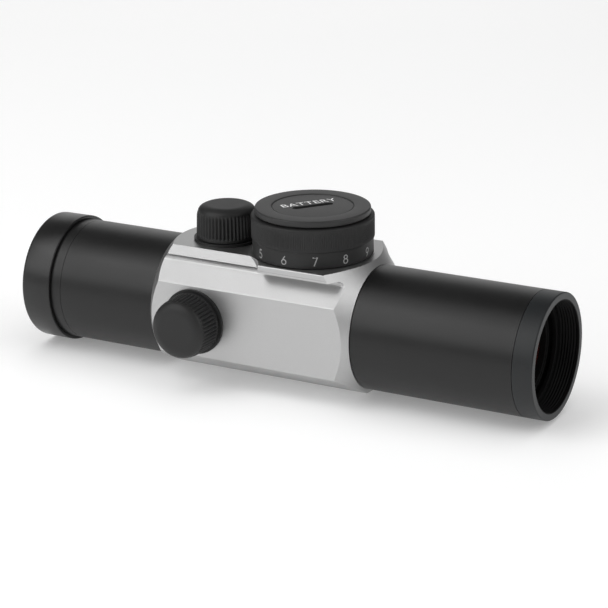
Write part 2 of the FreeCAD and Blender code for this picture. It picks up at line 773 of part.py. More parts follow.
def lens():
    """A meniscus lens: a disc between two spheres, its hollow side to the rear."""
    front = S.lens_seat - S.lens_thickness
    blank = rod("lens_blank", S.lens_radius, S.lens_thickness, ALONG_TUBE, (-S.lens_seat, 0, 0))
    shapes = []
    for name, radius, middle in (("lens_front", S.lens_front_curve, front + S.lens_front_curve),
                                 ("lens_rear", S.lens_rear_curve,
                                  S.lens_seat - S.lens_rear_hollow + S.lens_rear_curve)):
        ball = doc.addObject("Part::Sphere", name)
        bind(ball, Radius=radius)
        place(ball, ALONG_TUBE, -middle)
        shapes.append(ball)
    domed = doc.addObject("Part::Common", "lens_domed")
    domed.Base = blank
    domed.Tool = shapes[0]
    glass = doc.addObject("Part::Cut", "objective_lens")
    glass.Base = domed
    glass.Tool = shapes[1]
    place(glass)
    subpart(glass, "objective_lens")
    outer = S.lens_radius + S.slip_gap / 2
    inner = outer - S.lens_ring_width
    sag = inner * inner / (S.lens_front_curve * 2)
    turned("lens_retainer", ring(inner, outer, -(front + sag), -(S.carrier_front + S.seam_gap)),
           ALONG_TUBE)


def emitter():
    """The light source at the rear of the carrier, off to one side, facing the lens."""
    turn = Rotation(Vector(1, 0, 0), -45)
    rear = S.carrier_rear - S.counterbore_slack
    holder = doc.addObject("Part::Box", "emitter_block")
    bind(holder, Length=S.emitter_depth, Width=S.emitter_width, Height=S.emitter_inset * 2)
    place(holder, UPRIGHT, -rear, -S.emitter_width / 2, S.emitter_offset - S.led_radius * 1.6)
    fitting = rod("emitter_space", S.carrier_bore, S.emitter_depth * 3, ALONG_TUBE,
                  (-S.carrier_rear - S.emitter_depth, 0, 0))
    bracket = doc.addObject("Part::Common", "emitter_bracket")
    bracket.Base = holder
    bracket.Tool = fitting
    place(bracket, turn)
    subpart(bracket, "emitter_bracket")
    led = rod("led_shape", S.led_radius, S.led_length, ALONG_TUBE,
              (S.emitter_depth - rear, 0, S.emitter_offset))
    group("led_emitter", [led], turn)
    strip = doc.addObject("Part::Box", "emitter_strip")
    strip_end = S.dial_place + S.emitter_depth
    bind(strip, Length=S.carrier_rear - strip_end, Width=S.strip_width, Height=S.strip_thickness)
    place(strip, UPRIGHT, -S.carrier_rear, -S.strip_width / 2, S.carrier_radius)
    group("emitter_flex", [strip], turn)


# ---------------------------------------------------------------- turrets

def turret(name, face, rotation):
    """One adjustment turret, drawn upright from the optical axis and then turned into place."""
    spot = {"x": -S.turret_place}
    flange_top = face + S.flange_thickness
    collar_top = flange_top + S.collar_height
    collar_low = face - S.collar_depth
    web_low = face + S.plunger_web
    web_top = web_low + S.plunger_web_thickness
    socket = SOCKET_RADIUS - S.thread_gap
    plunger_radius = S.screw_shaft + S.plunger_wall
    plunger_bore = plunger_radius + S.slip_gap
    head_bore = S.screw_head + S.slip_gap
    shaft_bore = S.screw_shaft + S.slip_gap
    snap_outer = S.screw_head + S.snap_ring_reach
    screw_top = collar_top - S.screw_recess
    groove = snap_outer + S.slip_gap
    ring_low = screw_top - S.snap_ring_drop
    ring_top = ring_low + S.snap_ring_height
    turned(name + "_base", [
        (plunger_bore, collar_low), (socket, collar_low), (socket, face),
        (S.flange_radius, face), (S.flange_radius, flange_top), (S.collar_radius, flange_top),
        (S.collar_radius, collar_top), (head_bore, collar_top),
        (head_bore, ring_top + S.slip_gap), (groove, ring_top + S.slip_gap),
        (groove, ring_low), (head_bore, ring_low), (head_bore, web_top),
        (shaft_bore, web_top), (shaft_bore, web_low), (plunger_bore, web_low)], rotation, **spot)

    screw = new_body(name + "_screw")
    shaft_end = face - S.screw_shaft_depth
    head_low = web_top + S.slip_gap
    seal_low = head_low + S.seal_lift
    seal_high = seal_low + S.seal_wire * 2 + S.seam_gap
    seal_floor = S.screw_head - S.seal_wire * 1.9
    neck = S.screw_head - S.screw_neck_step
    neck_low = ring_low - S.slip_gap
    turn_outline(screw, name + "_screw", [
        (0, shaft_end), (S.screw_shaft, shaft_end), (S.screw_shaft, head_low),
        (S.screw_head, head_low), (S.screw_head, seal_low), (seal_floor, seal_low),
        (seal_floor, seal_high), (S.screw_head, seal_high), (S.screw_head, neck_low),
        (neck, neck_low), (neck, screw_top), (0, screw_top)])
    feature(screw, "SubtractiveBox", name + "_screw_slot", UPRIGHT,
            (-S.screw_head, -S.screw_slot_width / 2, screw_top - S.screw_slot_depth),
            Length=S.screw_head * 2, Width=S.screw_slot_width, Height=S.screw_slot_depth + 1)
    click_height = ring_low - S.click_drop
    feature(screw, "SubtractiveCylinder", name + "_click_hole", Rotation(Vector(0, 1, 0), 90),
            (S.click_hole_end, 0, click_height), Radius=S.click_ball + S.slip_gap,
            Height=S.screw_head)
    place(screw, rotation, **spot)
    subpart(screw, name + "_screw")

    seal = doc.addObject("Part::Torus", name + "_seal_shape")
    bind(seal, Radius1=S.screw_head - S.seal_wire + S.pin_fit, Radius2=S.seal_wire - S.thread_gap)
    place(seal, UPRIGHT, 0, 0, seal_low + S.seal_wire + S.slip_gap)
    group(name + "_screw_seal", [seal], rotation, **spot)
    ball = doc.addObject("Part::Sphere", name + "_ball_shape")
    bind(ball, Radius=S.click_ball)
    place(ball, UPRIGHT, S.screw_head - S.click_ball, 0, click_height)
    group(name + "_click_ball", [ball], rotation, **spot)
    spring_low = S.click_hole_end + S.thread_gap
    spring = rod(name + "_spring_shape", S.click_ball - S.slip_gap,
                 S.screw_head - S.click_ball * 2 - S.slip_gap - spring_low,
                 Rotation(Vector(0, 1, 0), 90), (spring_low, 0, click_height))
    group(name + "_click_spring", [spring], rotation, **spot)

    plunger = new_body(name + "_plunger")
    bore_floor = shaft_end - S.screw_shaft_travel
    plunger_top = face - S.plunger_head_gap
    tip = S.pad_radius + S.slip_gap
    turn_outline(plunger, name + "_plunger", [
        (0, tip), (plunger_radius * 0.35, tip + S.plunger_tip_length * 0.12),
        (plunger_radius * 0.7, tip + S.plunger_tip_length * 0.45),
        (plunger_radius, tip + S.plunger_tip_length), (plunger_radius, plunger_top),
        (shaft_bore, plunger_top), (shaft_bore, bore_floor), (0, bore_floor)])
    place(plunger, rotation, **spot)
    subpart(plunger, name + "_plunger")

    turned(name + "_snap_ring", ring(neck + S.slip_gap, snap_outer, ring_low + S.thread_gap,
                                     ring_top), rotation, **spot)

    cap_low = flange_top + S.seam_gap
    cap_top = collar_top + S.cap_headroom + S.cap_roof
    cap_bore = S.collar_radius + S.cap_fit
    dome_start = S.cap_radius - S.cap_draft - S.cap_dome
    gasket_inner = S.collar_radius + S.gasket_wall
    gasket_outer = gasket_inner + S.gasket_width
    groove_inner = gasket_inner - S.thread_gap
    groove_outer = gasket_outer + S.thread_gap
    groove_top = cap_low + S.gasket_height
    dome = []
    for step in range(6):
        angle = math.radians(18 * step)
        dome.append((dome_start + S.cap_dome * math.cos(angle),
                     cap_top - S.cap_dome + S.cap_dome * math.sin(angle)))
    turned(name + "_cap", [
        (cap_bore, cap_low), (groove_inner, cap_low), (groove_inner, groove_top),
        (groove_outer, groove_top), (groove_outer, cap_low), (S.cap_radius - S.cap_edge, cap_low),
        (S.cap_radius, cap_low + S.cap_edge)] + dome + [
        (0, cap_top), (0, cap_top - S.cap_roof), (cap_bore, cap_top - S.cap_roof)],
        rotation, **spot)
    turned(name + "_cap_gasket", ring(gasket_inner, gasket_outer, flange_top + S.thread_gap,
                                      groove_top - S.thread_gap), rotation, **spot)


def return_springs():
    """The two springs that hold the carrier against the plungers."""
    length = S.coil_floor - S.pad_radius - S.slip_gap * 2
    end = S.coil_floor - S.slip_gap
    coil("elevation_return_spring", S.coil_wire, S.coil_radius, length, S.coil_turns, UPRIGHT,
         x=-S.turret_place, z=-end)
    coil("windage_return_spring", S.coil_wire, S.coil_radius, length, S.coil_turns, TO_THE_RIGHT,
         x=-S.turret_place, y=end)


# ---------------------------------------------------------------- brightness dial

INWARD = Rotation(Vector(0, 1, 0), -90)


def screw_spots():
    """Where the four base screws stand, from the dial's axis."""
    spots = []
    for quarter in range(4):
        angle = math.radians(45 + 90 * quarter)
        spots.append((S.base_screw_circle * math.cos(angle), S.base_screw_circle * math.sin(angle)))
    return spots


def switch():
    """What stays still inside the dial: the base with its post and screws, the board and the detent."""
    spot = {"x": -S.dial_place}
    groove = S.post_radius - S.clip_groove
    groove_low = S.dial_web_top + S.slip_gap
    groove_top = groove_low + S.clip_groove
    post_tip = S.post_radius - S.slip_gap
    post_top = S.dial_web_top + S.post_end
    head_radius = S.base_screw_radius * S.base_screw_head_ratio
    detent_height = S.top + S.base_thickness / 2
    detent_bore = S.detent_radius + S.slip_gap
    detent_end = S.base_radius - S.detent_spring_length - S.detent_radius * 2

    base = new_body("switch_base")
    turn_outline(base, "switch_base", [
        (S.post_bore, S.top), (S.base_radius, S.top), (S.base_radius, S.base_top),
        (S.post_radius, S.base_top), (S.post_radius, groove_low), (groove, groove_low),
        (groove, groove_top), (post_tip, groove_top), (post_tip, post_top),
        (S.post_bore, post_top)])
    for number, (x, y) in enumerate(screw_spots(), start=1):
        feature(base, "SubtractiveCylinder", "base_hole_%d" % number, UPRIGHT, (x, y, S.top - 1),
                Radius=S.base_screw_radius, Height=S.base_thickness + 2)
        feature(base, "SubtractiveCylinder", "base_head_%d" % number, UPRIGHT,
                (x, y, S.base_top - S.base_screw_head), Radius=head_radius,
                Height=S.base_screw_head + 1)
    feature(base, "SubtractiveCylinder", "detent_hole", INWARD, (-detent_end, 0, detent_height),
            Radius=detent_bore, Height=REACH)
    feature(base, "SubtractiveCylinder", "base_lead_hole", UPRIGHT,
            (-S.lead_hole_offset, 0, S.top - 1), Radius=S.lead_hole_radius,
            Height=S.base_thickness + 2)
    place(base, **spot)
    subpart(base, "switch_base")

    screws = []
    for number, (x, y) in enumerate(screw_spots(), start=1):
        shank = rod("base_screw_shank_%d" % number, S.base_screw_radius - S.thread_gap,
                    S.base_screw_depth + S.base_thickness - S.base_screw_head, UPRIGHT,
                    (x, y, S.top - S.base_screw_depth))
        top = rod("base_screw_head_%d" % number, head_radius - S.slip_gap,
                  S.base_screw_head - S.slip_gap, UPRIGHT, (x, y, S.base_top - S.base_screw_head))
        screw = doc.addObject("Part::Fuse", "base_screw_%d" % number)
        screw.Base = shank
        screw.Tool = top
        screws.append(screw)
    group("base_screws", screws, **spot)

    turned("circuit_board", ring(S.post_radius + S.battery_cap_gap, S.board_radius,
                                 S.base_top + S.thread_gap, S.board_top), **spot)
    lead_low = S.tube_bore - S.lead_end
    leads = [rod("lead_%d" % number, S.lead_radius, S.base_top - lead_low, UPRIGHT,
                 (-S.lead_hole_offset, (S.lead_radius + S.seam_gap) * side, lead_low))
             for number, side in enumerate((-1, 1))]
    group("board_leads", leads, **spot)

    ball_place = S.base_radius - S.detent_radius / 2
    ball = doc.addObject("Part::Sphere", "detent_ball_shape")
    bind(ball, Radius=S.detent_radius)
    place(ball, UPRIGHT, -ball_place, 0, detent_height)
    group("detent_ball", [ball], **spot)
    spring_start = detent_end + S.seam_gap
    spring = rod("detent_spring_shape", S.detent_radius - S.slip_gap,
                 ball_place - S.detent_radius - S.slip_gap - spring_start, INWARD,
                 (-spring_start, 0, detent_height))
    group("detent_spring", [spring], **spot)
    turned("dial_clip", ring(groove + S.thread_gap, S.post_radius + S.clip_reach,
                             groove_low + S.thread_gap, groove_top - S.pin_fit), **spot)


def dial():
    spot = {"x": -S.dial_place}
    body = new_body("dial")
    hub = S.post_radius + S.slip_gap
    edge = S.dial_grip_step
    turn_outline(body, "dial", [
        (S.dial_bore, S.dial_low), (S.dial_band, S.dial_low), (S.dial_band, S.dial_step),
        (S.dial_grip - edge / 2, S.dial_step), (S.dial_grip, S.dial_step + edge),
        (S.dial_grip, S.dial_top - S.dial_chamfer), (S.dial_grip - S.dial_chamfer, S.dial_top),
        (S.dial_pocket, S.dial_top), (S.dial_pocket, S.dial_web_top), (hub, S.dial_web_top),
        (hub, S.dial_web_low), (S.dial_bore, S.dial_web_low)])
    flute = feature(body, "SubtractiveCylinder", "detent_flute", UPRIGHT,
                    (-(S.dial_bore - S.dial_gap), 0, S.dial_low - S.detent_radius),
                    Radius=S.detent_radius, Height=S.dial_hollow)
    around(body, "detent_flutes", flute, S.dial_positions)
    place(body, **spot)
    subpart(body, "dial")

    turned("wiper_contact", ring(S.wiper_inner, S.wiper_inner + S.wiper_width,
                                 S.board_top + S.seam_gap, S.dial_web_low), **spot)
    turned("battery_contact", ring(S.contact_inner, S.contact_inner + S.contact_width,
                                   S.dial_web_top, S.dial_web_top + S.contact_height), **spot)
    turned("battery_holder", ring(S.cell_radius + S.cell_fit, S.dial_pocket - S.thread_gap,
                                  S.dial_web_top, S.cell_top), **spot)
    step = S.cell_radius - S.cell_step
    step_top = S.cell_low + S.cell_step_height
    turned("battery", [
        (0, S.cell_low), (step, S.cell_low), (step, step_top),
        (S.cell_radius - S.cell_edge, step_top), (S.cell_radius, step_top + S.cell_edge),
        (S.cell_radius, S.cell_top), (0, S.cell_top)], **spot)


def battery_cap():
    spot = {"x": -S.dial_place}
    cap = new_body("battery_cap")
    low = S.battery_cap_low
    top = S.battery_cap_top
    hollow_top = low - S.battery_cap_roof
    recess = top - S.recess_depth
    chamfer = S.dial_chamfer
    turn_outline(cap, "battery_cap", [
        (S.battery_cap_hollow, S.cell_top + S.cell_fit),
        (S.battery_cap_skirt, S.cell_top + S.cell_fit), (S.battery_cap_skirt, low),
        (S.battery_cap_radius - S.cap_edge, low), (S.battery_cap_radius, low + S.cap_edge),
        (S.battery_cap_radius, top - chamfer), (S.battery_cap_radius - chamfer, top),
        (S.recess_radius, top), (S.recess_radius, recess), (0, recess), (0, hollow_top),
        (S.battery_cap_hollow, hollow_top)])
    slot_turn = Rotation(Vector(0, 0, 1), SIZES["coin_slot_turn"])
    half = slot_turn.multVec(Vector(S.coin_slot_length.value / 2, S.coin_slot_width.value / 2, 0))
    slot = feature(cap, "SubtractiveBox", "coin_slot", slot_turn,
                   (-half.x, -half.y, recess - S.coin_slot_depth), Length=S.coin_slot_length,
                   Width=S.coin_slot_width, Height=S.coin_slot_depth + 1)
    length, width = S.coin_slot_length.text, S.coin_slot_width.text
    turn = "Sizes.coin_slot_turn * 1deg"
    slot.setExpression("Placement.Base.x", "(%s * sin(%s) - %s * cos(%s)) / 2"
                       % (width, turn, length, turn))
    slot.setExpression("Placement.Base.y", "(0 - %s * sin(%s) - %s * cos(%s)) / 2"
                       % (length, turn, width, turn))
    slot.setExpression("Placement.Rotation.Angle", turn)
    place(cap, **spot)
    subpart(cap, "battery_cap")
    turned("cap_spring", ring(S.cap_spring_inner, S.cap_spring_inner + S.cap_spring_width,
                              S.cell_top + S.thread_gap, hollow_top), **spot)
    turned("battery_cap_seal", ring(S.dial_pocket + S.seam_gap,
                                    S.battery_cap_radius - S.battery_cap_roof,
                                    S.dial_top + S.thread_gap, low - S.thread_gap), **spot)


# ---------------------------------------------------------------- build, test and write

def feature_faults():
    """Name every object that failed and every cut that removed nothing."""
    faults = []
    for thing in doc.Objects:
        if "Invalid" in thing.State or "Error" in thing.State:
            faults.append(thing.Name + " failed")
        if not (thing.TypeId.startswith("PartDesign::Subtractive")
                or thing.TypeId in ("PartDesign::Groove", "PartDesign::Pocket")):
            continue
        base = thing.BaseFeature
        if base is None or thing.Shape.Volume > base.Shape.Volume - 1e-4:
            faults.append(thing.Name + " removes nothing")
    return faults


def main():
    front_tube()
    rear_tube()
    objective_ring()
    ocular_end()
    rear_cap()
    housing()
    gimbal()
    inner_tube()
    lens()
    emitter()
    turret("elevation", S.top, UPRIGHT)
    turret("windage", S.side_half, TO_THE_RIGHT)
    return_springs()
    switch()
    dial()
    battery_cap()
    doc.recompute()

    faults = feature_faults()
    for piece in SUBPARTS:
        if piece.Shape.isNull() or not piece.Shape.isValid() or piece.Shape.Volume <= 0:
            faults.append(piece.Label + " has no valid shape")
    if faults:
        raise RuntimeError("; ".join(faults))
    os.makedirs("parts", exist_ok=True)
    for piece in SUBPARTS:
        piece.Shape.exportStep("parts/%s.step" % piece.Label)
    print("%d sub-parts written" % len(SUBPARTS))


main()
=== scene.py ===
"""Finder scope: materials, fine detail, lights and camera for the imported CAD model."""
import json
import math

import bpy
from mathutils import Matrix, Vector


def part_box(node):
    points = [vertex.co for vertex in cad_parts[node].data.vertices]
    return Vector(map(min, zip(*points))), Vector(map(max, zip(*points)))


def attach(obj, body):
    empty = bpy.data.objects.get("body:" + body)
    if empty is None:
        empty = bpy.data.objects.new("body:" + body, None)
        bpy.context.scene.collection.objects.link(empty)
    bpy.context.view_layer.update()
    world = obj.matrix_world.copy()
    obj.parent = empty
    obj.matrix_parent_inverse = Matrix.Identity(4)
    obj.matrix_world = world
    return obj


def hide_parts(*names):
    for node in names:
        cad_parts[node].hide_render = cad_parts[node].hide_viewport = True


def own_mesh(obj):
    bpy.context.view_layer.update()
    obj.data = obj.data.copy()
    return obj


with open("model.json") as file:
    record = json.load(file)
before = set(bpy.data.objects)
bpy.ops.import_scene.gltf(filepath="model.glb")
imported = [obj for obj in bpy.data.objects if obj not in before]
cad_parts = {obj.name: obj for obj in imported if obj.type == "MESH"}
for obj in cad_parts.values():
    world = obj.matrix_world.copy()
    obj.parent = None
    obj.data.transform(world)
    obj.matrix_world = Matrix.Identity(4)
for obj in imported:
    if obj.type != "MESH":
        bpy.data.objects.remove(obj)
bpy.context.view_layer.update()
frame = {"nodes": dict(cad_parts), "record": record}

MM = 0.001
TAU = 2 * math.pi
NODES = frame["nodes"]


def low(node):
    """Lowest corner of a CAD node, in millimetres."""
    return Vector(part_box(node)[0]) / MM


def high(node):
    """Highest corner of a CAD node, in millimetres."""
    return Vector(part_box(node)[1]) / MM


# ------------------------------------------------------------------ places read from the frame

# Sizes that several pieces share, in millimetres.
RING_SEAM = 4.95        # where the objective ring meets the front tube
DIAL_GAP = 0.2          # between the housing and the dial
BAND_R = 14.49          # the dial's numbered band
CAP_TOP = 8.8           # top of a turret cap above its face
INK_RISE = 0.012        # how far printed marks stand off their surface
CAP_RIBS = 48
SERRATIONS = 216
SPRING_FOOT = 14.95     # where the return springs stand, from the optical axis

TUBE_R = high("front_tube").z
DIAL_X = (low("dial").x + high("dial").x) / 2
TURRET_X = (low("elevation_base").x + high("elevation_base").x) / 2
TOP = low("dial").z - DIAL_GAP
SIDE = high("housing").y
BOTTOM = low("housing").z

ALONG_TUBE = Matrix.Rotation(math.radians(90), 4, "Y")
DIAL = Matrix.Translation((DIAL_X, 0, 0))
ELEVATION = Matrix.Translation((TURRET_X, 0, 0))
WINDAGE = ELEVATION @ Matrix.Rotation(math.radians(90), 4, "X")


# ------------------------------------------------------------------ material building

class Tree:
    """A material's node tree, with short ways to add and join nodes."""

    def __init__(self, name, **sockets):
        self.material = bpy.data.materials.new(name)
        self.material.use_nodes = True
        self.nodes = self.material.node_tree.nodes
        self.links = self.material.node_tree.links
        self.shader = self.nodes["Principled BSDF"]
        for socket, value in sockets.items():
            self.shader.inputs[socket.replace("_", " ")].default_value = value
        self.place = self.nodes.new("ShaderNodeTexCoord").outputs["Object"]

    def add(self, kind, settings=None, **inputs):
        node = self.nodes.new(kind)
        for name, value in (settings or {}).items():
            setattr(node, name, value)
        for name, value in inputs.items():
            numbered = name[0] == "i" and name[1:].isdigit()
            socket = node.inputs[int(name[1:]) if numbered else name.replace("_", " ")]
            if isinstance(value, bpy.types.NodeSocket):
                self.links.new(value, socket)
            else:
                socket.default_value = value
        return node

    def noise(self, scale, detail=3.0, roughness=0.6, stretch=None):
        """Noise whose scale is in cycles per millimetre, stretched along an axis if asked."""
        place = self.place
        if stretch:
            place = self.add("ShaderNodeMapping", Vector=place, Scale=stretch).outputs[0]
        node = self.add("ShaderNodeTexNoise", Vector=place, Scale=scale / MM, Detail=detail,
                        Roughness=roughness)
        return node.outputs["Fac"]

    def maths(self, operation, first, second=0.0):
        return self.add("ShaderNodeMath", {"operation": operation}, i0=first, i1=second).outputs[0]

    def spread(self, value, from_low, from_high, to_low, to_high):
        node = self.add("ShaderNodeMapRange", Value=value, From_Min=from_low, From_Max=from_high,
                        To_Min=to_low, To_Max=to_high)
        return node.outputs[0]

    def blend(self, factor, first, second):
        node = self.add("ShaderNodeMix", {"data_type": "RGBA"})
        self.links.new(factor, node.inputs[0])
        for number, value in ((6, first), (7, second)):
            if isinstance(value, bpy.types.NodeSocket):
                self.links.new(value, node.inputs[number])
            else:
                node.inputs[number].default_value = value
        return node.outputs[2]

    def colour(self, value):
        self.links.new(value, self.shader.inputs["Base Color"])

    def rough(self, value):
        self.links.new(value, self.shader.inputs["Roughness"])

    def bump(self, height, depth_mm, normal=None):
        node = self.add("ShaderNodeBump", Height=height, Distance=depth_mm * MM, Strength=1.0)
        if normal:
            self.links.new(normal, node.inputs["Normal"])
        self.links.new(node.outputs[0], self.shader.inputs["Normal"])
        return node.outputs[0]

    def radius(self, axis="X"):
        """Distance from the optical axis (X) or from an upright one (Z)."""
        split = self.add("ShaderNodeSeparateXYZ", Vector=self.place)
        names = {"X": ("Y", "Z"), "Z": ("X", "Y")}[axis]
        squares = [self.maths("MULTIPLY", split.outputs[name], split.outputs[name])
                   for name in names]
        return self.maths("SQRT", self.maths("ADD", *squares))


def grey(value, alpha=1.0):
    return (value, value, value, alpha)


def silver_finish():
    """Bead-blasted, clear-anodised aluminium with faint handling marks."""
    tree = Tree("silver", Metallic=1.0, Specular_IOR_Level=0.5)
    cloud = tree.noise(0.05, 4, 0.55)
    grain = tree.noise(7.0, 2, 0.7)
    shade = tree.maths("ADD", tree.spread(cloud, 0.3, 0.7, -0.03, 0.03),
                       tree.spread(grain, 0.25, 0.75, -0.05, 0.05))
    tree.colour(tree.blend(tree.spread(shade, -0.08, 0.08, 0.0, 1.0), grey(0.49), grey(0.57)))
    tree.rough(tree.spread(cloud, 0.3, 0.7, 0.40, 0.47))
    fine = tree.bump(grain, 0.012)
    rings = tree.maths("SINE", tree.maths("MULTIPLY", tree.radius("X"), TAU / (0.22 * MM)))
    split = tree.add("ShaderNodeSeparateXYZ", Vector=tree.place)
    cone_end = -52.0 * MM
    front = tree.spread(split.outputs["X"], cone_end - MM, cone_end, 0.0, 1.0)
    tree.bump(tree.maths("MULTIPLY", rings, front), 0.0012, fine)
    return tree.material


def black_finish(name, colour, roughness, tint=(1.0, 1.0, 1.0), rings=0.0):
    """Black anodising: a matt, slightly uneven black over turned metal."""
    tree = Tree(name, Specular_IOR_Level=0.44)
    cloud = tree.noise(0.08, 4, 0.6)
    grain = tree.noise(9.0, 2, 0.6)
    dark = tuple(colour * 0.85 * part for part in tint) + (1.0,)
    pale = tuple(colour * 1.2 * part for part in tint) + (1.0,)
    tree.colour(tree.blend(tree.spread(cloud, 0.3, 0.7, 0.0, 1.0), dark, pale))
    uneven = tree.maths("ADD", tree.spread(cloud, 0.3, 0.7, roughness - 0.03, roughness + 0.03),
                        tree.spread(grain, 0.3, 0.7, -0.04, 0.04))
    tree.rough(uneven)
    fine = tree.bump(grain, 0.006)
    if rings:
        marks = tree.noise(rings, 3, 0.7, (1.0, 0.004, 0.004))
        tree.bump(marks, 0.004, fine)
    return tree.material


def plastic_finish(name, colour, roughness):
    """Moulded black plastic with a soft sheen and a fine texture."""
    tree = Tree(name, Specular_IOR_Level=0.5)
    texture = tree.noise(4.0, 3, 0.6)
    cloud = tree.noise(0.1, 3, 0.5)
    tree.colour(tree.blend(tree.spread(cloud, 0.3, 0.7, 0.0, 1.0), grey(colour * 0.8),
                           grey(colour * 1.25)))
    tree.rough(tree.spread(cloud, 0.3, 0.7, roughness - 0.04, roughness + 0.05))
    tree.bump(texture, 0.008)
    return tree.material


def rubber_finish():
    tree = Tree("rubber", Specular_IOR_Level=0.35)
    texture = tree.noise(3.0, 4, 0.7)
    tree.colour(tree.blend(texture, grey(0.008), grey(0.02)))
    tree.rough(tree.spread(texture, 0.3, 0.7, 0.62, 0.78))
    tree.bump(texture, 0.01)
    return tree.material


def metal_finish(name, colour, roughness, across=(1.0, 1.0, 30.0)):
    """Turned or drawn metal, with fine lines across it."""
    tree = Tree(name, Metallic=1.0)
    lines = tree.noise(1.5, 3, 0.6, across)
    cloud = tree.noise(0.4, 3, 0.5)
    pale = tuple(part * 1.1 for part in colour) + (1.0,)
    dark = tuple(part * 0.8 for part in colour) + (1.0,)
    tree.colour(tree.blend(cloud, dark, pale))
    tree.rough(tree.spread(lines, 0.3, 0.7, roughness - 0.06, roughness + 0.08))
    tree.bump(lines, 0.004)
    return tree.material


def board_finish():
    """Green solder mask with paler traces."""
    tree = Tree("board", Specular_IOR_Level=0.5)
    cells = tree.add("ShaderNodeTexVoronoi", {"feature": "DISTANCE_TO_EDGE"}, Vector=tree.place,
                     Scale=0.5 / MM)
    traces = tree.spread(cells.outputs[0], 0.04, 0.08, 1.0, 0.0)
    tree.colour(tree.blend(traces, (0.01, 0.09, 0.03, 1), (0.02, 0.22, 0.07, 1)))
    tree.rough(tree.spread(tree.noise(0.6), 0.3, 0.7, 0.3, 0.4))
    tree.bump(traces, 0.02)
    return tree.material


def coated_glass():
    """The lens: dark from outside; the faint red of its coating's reflection is painted into the
    base colour, and the red specular tint also colours the real reflection.
    """
    tree = Tree("coated_lens", IOR=1.5, Specular_IOR_Level=0.25)
    dust = tree.noise(2.0, 4, 0.7)
    # Painted reflection: the dark red base colour stands in for the coating's red reflection,
    # which the lights alone leave almost black.
    tree.colour(tree.blend(tree.spread(tree.noise(0.08, 2, 0.5), 0.3, 0.7, 0.0, 1.0),
                           (0.03, 0.004, 0.003, 1), (0.05, 0.007, 0.005, 1)))
    tree.rough(tree.spread(dust, 0.4, 0.8, 0.05, 0.14))
    tree.shader.inputs["Specular Tint"].default_value = (1.0, 0.35, 0.3, 1)
    return tree.material


def clear_glass():
    tree = Tree("clear_glass", IOR=1.5, Transmission_Weight=0.9)
    tree.shader.inputs["Alpha"].default_value = 1.0
    tree.colour(tree.blend(tree.noise(0.1), (0.86, 0.93, 0.90, 1), (0.92, 0.97, 0.95, 1)))
    tree.rough(tree.spread(tree.noise(2.0, 4), 0.4, 0.8, 0.02, 0.07))
    return tree.material


def paint_finish():
    """Pale grey screen-printed ink for the dial's numbers."""
    tree = Tree("pale_ink", Specular_IOR_Level=0.3)
    wear = tree.noise(3.0, 4, 0.7)
    tree.colour(tree.blend(tree.spread(wear, 0.35, 0.65, 0.0, 1.0), grey(0.28), grey(0.42)))
    tree.rough(tree.spread(wear, 0.3, 0.7, 0.5, 0.65))
    return tree.material


def white_ink_finish():
    tree = Tree("white_ink", Specular_IOR_Level=0.3)
    wear = tree.noise(3.0, 4, 0.7)
    tree.colour(tree.blend(tree.spread(wear, 0.35, 0.65, 0.0, 1.0), grey(0.7), grey(0.86)))
    tree.rough(tree.spread(wear, 0.3, 0.7, 0.5, 0.65))
    return tree.material


SILVER = silver_finish()
TUBE_BLACK = black_finish("tube_black", 0.006, 0.37, rings=3.0)
RING_BLACK = black_finish("ring_black", 0.011, 0.45, (0.85, 1.0, 1.1), rings=3.0)
CAP_BLACK = black_finish("cap_black", 0.013, 0.52)
DIAL_BLACK = black_finish("dial_black", 0.016, 0.6)
BATTERY_CAP_BLACK = black_finish("battery_cap_black", 0.026, 0.5)
INSIDE_BLACK = black_finish("inside_black", 0.003, 0.7, rings=2.0)
INSIDE_BLACK.node_tree.nodes["Principled BSDF"].inputs["Specular IOR Level"].default_value = 0.2
PLASTIC = plastic_finish("black_plastic", 0.008, 0.33)
RUBBER = rubber_finish()
STEEL = metal_finish("steel", (0.55, 0.55, 0.56), 0.3)
BRASS = metal_finish("contact_brass", (0.62, 0.45, 0.18), 0.28)
CELL = metal_finish("cell_steel", (0.66, 0.66, 0.68), 0.22, (1.0, 1.0, 1.0))
BOARD = board_finish()
LENS = coated_glass()
GLASS = clear_glass()
INK = paint_finish()
WHITE_INK = white_ink_finish()

BY_SLOT = {
    "silver_aluminium": SILVER,
    "black_aluminium": TUBE_BLACK,
    "black_plastic": PLASTIC,
    "rubber": RUBBER,
    "steel": STEEL,
    "glass": GLASS,
    "coated_glass": LENS,
    "contact_brass": BRASS,
    "board": BOARD,
    "cell_steel": CELL,
}
BY_NODE = {
    "inner_tube": INSIDE_BLACK,
    "gimbal_ring": INSIDE_BLACK,
    "lens_retainer": INSIDE_BLACK,
    "ocular_ring": TUBE_BLACK,
    "switch_base": CAP_BLACK,
    "elevation_base": CAP_BLACK,
    "windage_base": CAP_BLACK,
}


def paint(piece, material):
    piece.data.materials.clear()
    piece.data.materials.append(material)


def paint_frame():
    """Give every CAD node a better material than its plain one."""
    slots = {part["node"]: part["material_slot"] for part in frame["record"]["subparts"]}
    for name, piece in NODES.items():
        paint(piece, BY_NODE.get(name, BY_SLOT[slots[name]]))


# ------------------------------------------------------------------ turned pieces

def soften(corners, closed):
    """Round each (radius, height, fillet) corner of an outline; returns plain points."""
    points = []
    count = len(corners)
    for index, corner in enumerate(corners):
        here = Vector(corner[:2])
        fillet = corner[2] if len(corner) > 2 else 0.0
        ends = not closed and index in (0, count - 1)
        if fillet == 0.0 or ends:
            points.append(here)
            continue
        before = Vector(corners[index - 1][:2])
        after = Vector(corners[(index + 1) % count][:2])
        back = before - here
        ahead = after - here
        reach = min(fillet, back.length * 0.45, ahead.length * 0.45)
        start = here + back.normalized() * reach
        end = here + ahead.normalized() * reach
        for step in range(5):
            t = step / 4
            points.append(start * (1 - t) ** 2 + here * 2 * t * (1 - t) + end * t * t)
    return points


